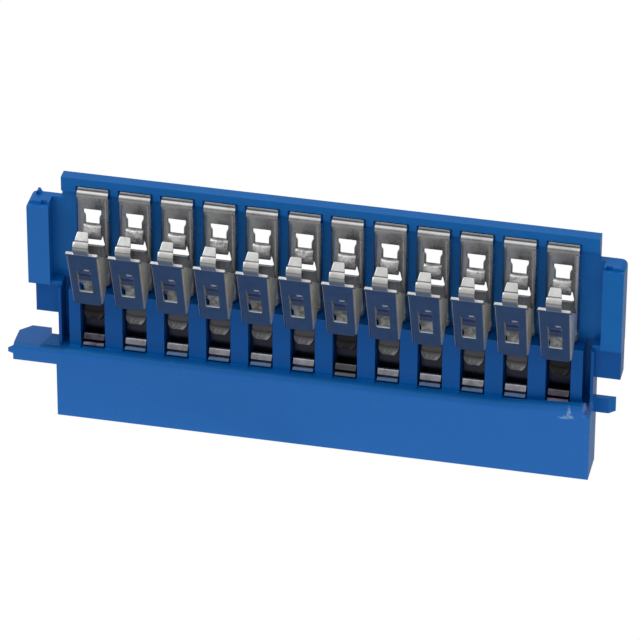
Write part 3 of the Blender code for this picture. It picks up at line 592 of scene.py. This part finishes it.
def clamp_jaw():
    run = (JAW_LOW - JAW_TOP).normalized()
    inward = Vector((-run.y, run.x))
    mid = inward * (JAW_T / 2)

    def panel(h):
        return JAW_TOP + run * ((h - JAW_TOP.y) / run.y) + mid

    line = Path(bent([(-1.95, 27.5), (-2.86, 26.60), (-3.06, 26.70), (-3.43, 26.22), (-3.34, 25.72),
                      tuple(panel(24.9)), tuple(panel(16.5))], [0.05, 0.10, 0.14, 0.4, 0.8], 5))
    top = line.at_height(25.1 + mid.y)
    s = lambda a: top + a                          # a: length below the ears
    z = lambda h: s((JAW_TOP.y - h) / -run.y)      # on the flat panel
    length = (JAW_LOW - JAW_TOP).length
    r = 0.30

    def u0(a):
        return 1.92 - 0.12 * min(max(a / length, 0), 1) - JAW_T / 2 - r

    def side(y, h):
        """Blank position of a point (Y, Z) on the side wall."""
        p = Vector((y, h)) - JAW_TOP
        a, d = p.dot(run), p.dot(inward)
        return u0(a) + r * math.pi / 2 + d - JAW_T / 2 - r, s(a)

    crease, knee = line.s[3], line.s[10]
    outline = [(0.52, 0.0), (0.60, 0.04), (0.64, 0.14), (0.82, crease), (0.90, knee), (0.90, s(-0.06)), (0.94, s(0.0)),
               (1.84, s(0.0)), (1.91, s(0.05)), (1.92, s(0.14)), (1.92, s(0.36)), (1.88, s(0.42)),
               (u0(0.4) - 0.03, s(0.43)), (u0(0.4) - 0.03, s(0.49)), side(-2.62, 24.78), side(-2.45, 24.72),
               side(2.0, 21.70), side(2.26, 21.45), side(2.36, 21.2), side(2.36, 19.15), side(2.24, 18.85),
               side(0.4, 17.15), side(0.12, 16.93), (u0(9) + 0.25, s(length - 0.1)), (u0(9) + 0.1, s(length))]
    outline = mirror(outline)
    a, b, c = z(22.35), z(20.35), z(18.6)
    slot = [(-0.84, a + 0.06), (-0.84, c - 0.08), (-0.76, c), (0.76, c), (0.84, c - 0.08), (0.84, a + 0.06),
            (0.79, a), (0.74, a + 0.06), (0.74, b - 0.08), (0.66, b), (-0.66, b), (-0.74, b - 0.08),
            (-0.74, a + 0.06), (-0.79, a)]
    lean = -0.12 / length
    arcs = [r * math.pi / 2 * k / 5 for k in range(6)]
    base = 1.92 - JAW_T / 2 - r
    cuts = []
    for t in arcs:
        cuts.append(((base + t, s(0.0)), (1.0, -lean)))
        cuts.append(((-base - t, s(0.0)), (1.0, lean)))
    cuts += along(line.s[1:-1] + [s(0.46)] + [s(0.5 + 0.1 * k) for k in range(6)] +
                  [a - 0.35 + 0.07 * k for k in range(12)] + [b - 0.9 + 0.15 * k for k in range(3)] +
                  [b - 0.42 + 0.07 * k for k in range(6)] + [c + 0.3, s(length - 0.6), s(length - 0.25)])
    cuts += across([-1.1, -0.55, -0.25, 0, 0.25, 0.55, 1.1])

    def space(u, v):
        (y, h), d = line.at(v)
        n = Vector((-d.y, d.x))
        k = 1.0 if v > s(0.455) else 0.0
        x, deep = side_bend(u, u0(v - top), r, k)
        if abs(u) <= 0.745 and a + 0.03 < v < b + 0.03:
            t = (v - a) / (b - a)
            press = 0.50 * smooth(t / 0.82) - 0.30 * smooth((t - 0.80) / 0.20)
            deep += press
        # a low arched ridge over the lance and a faint roll below the ears
        q = (v - (a - 0.04 + 0.10 * (u - 0.1) ** 2)) / 0.20
        if abs(q) < 1 and abs(u) < 0.95:
            deep -= 0.12 * (math.cos(q * math.pi) + 1) / 2 * (0.45 + 0.55 * smooth((u + 0.2) / 0.5)) * \
                smooth((0.95 - abs(u)) / 0.3)
        q = (v - s(0.72)) / 0.28
        if abs(q) < 1 and abs(u) < 1.3:
            deep -= 0.03 * (math.cos(q * math.pi) + 1) / 2 * smooth((1.3 - abs(u)) / 0.5)
        return x, y + n.x * deep, h + n.y * deep

    return gather([sheet([outline, slot], cuts, space, JAW_T, 0.05)])


def tail_terminal():
    line = Path(bent([(3.4, 14.4), (3.4, 7.0), (2.35, 5.6), (2.35, 2.1), (2.62, 1.4)], [0.6, 0.6, 0.4], 6))
    z = line.at_height
    outline = corner(mirror([(1.3, 0.0), (1.3, z(9.5)), (0.8, z(9.3)), (0.8, z(2.2)), (0.45, line.end)]), 0.12, 3)

    def space(u, v):
        (y, h), d = line.at(v)
        return u, y, h

    blade = sheet([outline], along(line.s[1:-1] + [z(h) for h in (13, 11.5, 10.2, 9.4)]), space, 0.32, 0.05)
    ridge = Path(bent([(3.32, 9.8), (2.95, 9.95), (2.42, 10.72), (2.0, 10.0)], [0.3, 0.16, 0.1], 6))
    w = 1.26

    def ridged(u, v):
        (y, h), d = ridge.at(v)
        return u, y, h

    bar = sheet([corner([(w, 0), (w, ridge.end), (-w, ridge.end), (-w, 0)], 0.1, 3)], along(ridge.s[1:-1]),
                ridged, 0.28, 0.06)
    floor_line = Path(bent([(3.32, 9.62), (2.00, 9.60), (1.66, 9.32)], [0.3], 5))
    w2 = 1.24

    def low(u, v):
        (y, h), d = floor_line.at(v)
        return u, y, h

    foot = sheet([corner([(w2, 0), (w2, floor_line.end), (-w2, floor_line.end), (-w2, 0)], 0.1, 3)],
                 along(floor_line.s[1:-1]), low, 0.27, 0.06)
    return gather([blade, bar, foot])


def pole_x(i):
    return (i - (POLES - 1) / 2.0) * PITCH


def set_piece(kind, blank, i, mat, body):
    tag = "%02d" % (i + 1)
    me = blank.copy()
    me.name = kind + "_look_" + tag
    me.transform(Matrix.Translation((pole_x(i) * MM, -Y0 * MM, 0)) @ Matrix.Diagonal((MM, MM, MM, 1)))
    me.materials.clear()
    me.materials.append(mat)
    ob = bpy.data.objects.new(kind + "_look_" + tag, me)
    bpy.context.scene.collection.objects.link(ob)
    wn = ob.modifiers.new("normals", "WEIGHTED_NORMAL")
    wn.weight = 60
    wn.keep_sharp = True
    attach(ob, body.replace("NN", tag))
    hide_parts(kind + "_" + tag)
    return ob


plate_blank, jaw_blank, tail_blank = contact_plate(), clamp_jaw(), tail_terminal()
for i in range(POLES):
    set_piece("contact_plate", plate_blank, i, PLATE, "strip")
    set_piece("clamp_jaw", jaw_blank, i, JAW, "jaw_NN")
    set_piece("tail_terminal", tail_blank, i, TAIL, "strip")
for me in (plate_blank, jaw_blank, tail_blank):
    bpy.data.meshes.remove(me)


# ------------------------------------------------------------------- stage
def floor():
    bm = bmesh.new()
    bmesh.ops.create_grid(bm, x_segments=1, y_segments=1, size=3.0)
    me = bpy.data.meshes.new("floor")
    bm.to_mesh(me)
    bm.free()
    ob = bpy.data.objects.new("floor", me)
    bpy.context.scene.collection.objects.link(ob)
    ob.location = (0, 0, -0.00002)
    m = Net("floor_white")
    lp = m.add("ShaderNodeLightPath")
    # the floor glows as a light table: white to the camera and near white to diffuse light, but a painted mid grey in
    # reflections
    soft = m.mix(lp.outputs["Is Diffuse Ray"], (0.32, 0.32, 0.33), (0.95, 0.95, 0.96))
    col = m.mix(lp.outputs["Is Camera Ray"], soft, (0.99, 0.99, 0.99))
    e = m.add("ShaderNodeEmission")
    m.link(col, e.inputs["Color"])
    e.inputs["Strength"].default_value = 1.0
    d = m.add("ShaderNodeBsdfDiffuse")
    d.inputs["Color"].default_value = (0.02, 0.02, 0.02, 1)
    s = m.add("ShaderNodeAddShader")
    m.link(d.outputs[0], s.inputs[0])
    m.link(e.outputs[0], s.inputs[1])
    m.link(s.outputs[0], m.out.inputs["Surface"])
    me.materials.append(m.mat)


floor()

scene = bpy.context.scene
world = bpy.data.worlds.new("studio")
scene.world = world
world.use_nodes = True
wt = world.node_tree
bg = wt.nodes["Background"]


def sky_node(kind, **props):
    n = wt.nodes.new(kind)
    for k, v in props.items():
        setattr(n, k, v)
    return n


def sky_ramp(socket, a, b, c, d):
    n = sky_node("ShaderNodeMapRange", interpolation_type="SMOOTHSTEP")
    wt.links.new(socket, n.inputs["Value"])
    for name, value in (("From Min", a), ("From Max", b), ("To Min", c), ("To Max", d)):
        n.inputs[name].default_value = value
    return n.outputs["Result"]


# a large soft light overhead, dimmer towards the front and the horizon
way = sky_node("ShaderNodeSeparateXYZ")
wt.links.new(sky_node("ShaderNodeTexCoord").outputs["Generated"], way.inputs[0])
total = sky_node("ShaderNodeMath", operation="ADD")
wt.links.new(sky_ramp(way.outputs[2], 0.30, 0.95, 0.17, 0.86), total.inputs[0])
wt.links.new(sky_ramp(way.outputs[1], 0.20, 0.90, 0.0, 0.16), total.inputs[1])
wt.links.new(total.outputs[0], bg.inputs["Strength"])
bg.inputs["Color"].default_value = (1.0, 1.0, 1.0, 1.0)


def softbox(name, loc, target, size, power, color=(1, 1, 1)):
    li = bpy.data.lights.new(name, "AREA")
    li.shape = "RECTANGLE"
    li.size, li.size_y = size
    li.energy = power
    li.color = color
    ob = bpy.data.objects.new(name, li)
    scene.collection.objects.link(ob)
    ob.location = loc
    ob.rotation_euler = (Vector(target) - Vector(loc)).to_track_quat("-Z", "Y").to_euler()
    return ob


softbox("key_top", (-0.50, -0.25, 0.60), (0, 0, 0.015), (0.5, 0.5), 1.2)

# ------------------------------------------------------------------ camera
AZ, EL, ROLL = math.radians(11.94), math.radians(33.24), math.radians(0.22)
right = Vector((math.cos(AZ), math.sin(AZ), 0))
fwd = Vector((-math.sin(AZ) * math.cos(EL), math.cos(AZ) * math.cos(EL), -math.sin(EL)))
up = Vector((-math.sin(AZ) * math.sin(EL), math.cos(AZ) * math.sin(EL), math.cos(EL)))
r2 = right * math.cos(ROLL) + up * math.sin(ROLL)
u2 = up * math.cos(ROLL) - right * math.sin(ROLL)
cam = bpy.data.cameras.new("camera")
cam.sensor_width = 36.0
cam.lens = 5527.0 * 36.0 / 640.0
cam.clip_start, cam.clip_end = 0.01, 20.0
cob = bpy.data.objects.new("camera", cam)
scene.collection.objects.link(cob)
rot = Matrix((r2, u2, -fwd)).transposed().to_4x4()
cob.matrix_world = Matrix.Translation((0.1114926, -0.5300667, 0.3715323)) @ rot
scene.camera = cob
scene.view_settings.view_transform = "Standard"
scene.view_settings.look = "None"
